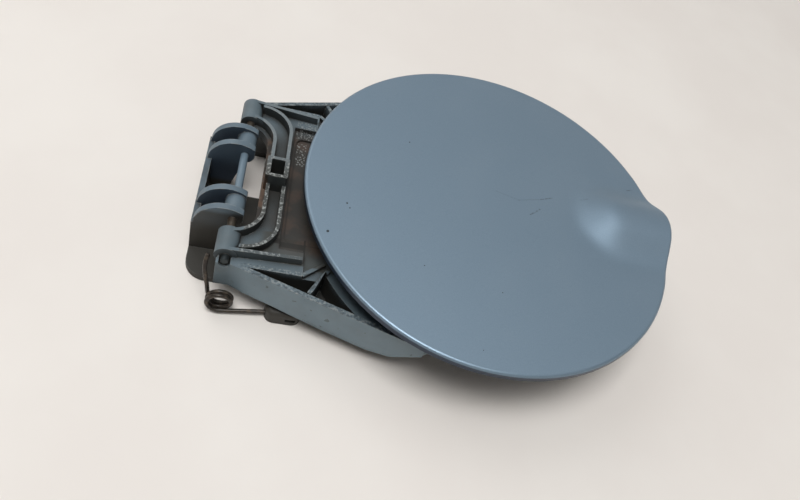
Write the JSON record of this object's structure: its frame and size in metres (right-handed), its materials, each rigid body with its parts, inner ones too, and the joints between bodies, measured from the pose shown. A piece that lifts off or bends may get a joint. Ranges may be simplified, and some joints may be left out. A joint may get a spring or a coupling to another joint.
{
  "type": "car fuel door",
  "caption": "Round domed fuel door with a raised finger pull on a moulded hinge arm, turning on a pin in a body-side bracket with a wire closing spring.",
  "frame": {"origin": "on the bracket's flat mounting face, straight below the middle of the hinge pin", "axes": "+Z out of the mounting face towards the door's outside, +X from the pin across the door, Y along the pin"},
  "size_m": [0.2119, 0.17, 0.0487],
  "materials": {
    "body_paint": "blue-grey paint with a soft gloss over moulded plastic",
    "painted_arm": "thin blue-grey paint over dark moulded plastic, worn on the rib tops",
    "steel_pin": "plain steel pin, painted over between the knuckles",
    "bracket_plastic": "dark moulded plastic with paint on the raised knuckles",
    "spring_wire": "dark oiled spring steel"
  },
  "bodies": {
    "bracket": {"hinge_bracket": "bracket_plastic", "closing_spring": "spring_wire"},
    "door": {"door_panel": "body_paint", "hinge_arm": "painted_arm", "hinge_pin": "steel_pin"}
  },
  "joints": [
    {"name": "door_hinge", "type": "hinge", "parent": "bracket", "child": "door", "pos_m": [0, 0, 0.026], "axis": [0, -1, 0], "range_deg": [0, 105], "stiffness_Nm_per_rad": 0.03, "springref_deg": -28.65, "deforming": ["closing_spring"]}
  ]
}
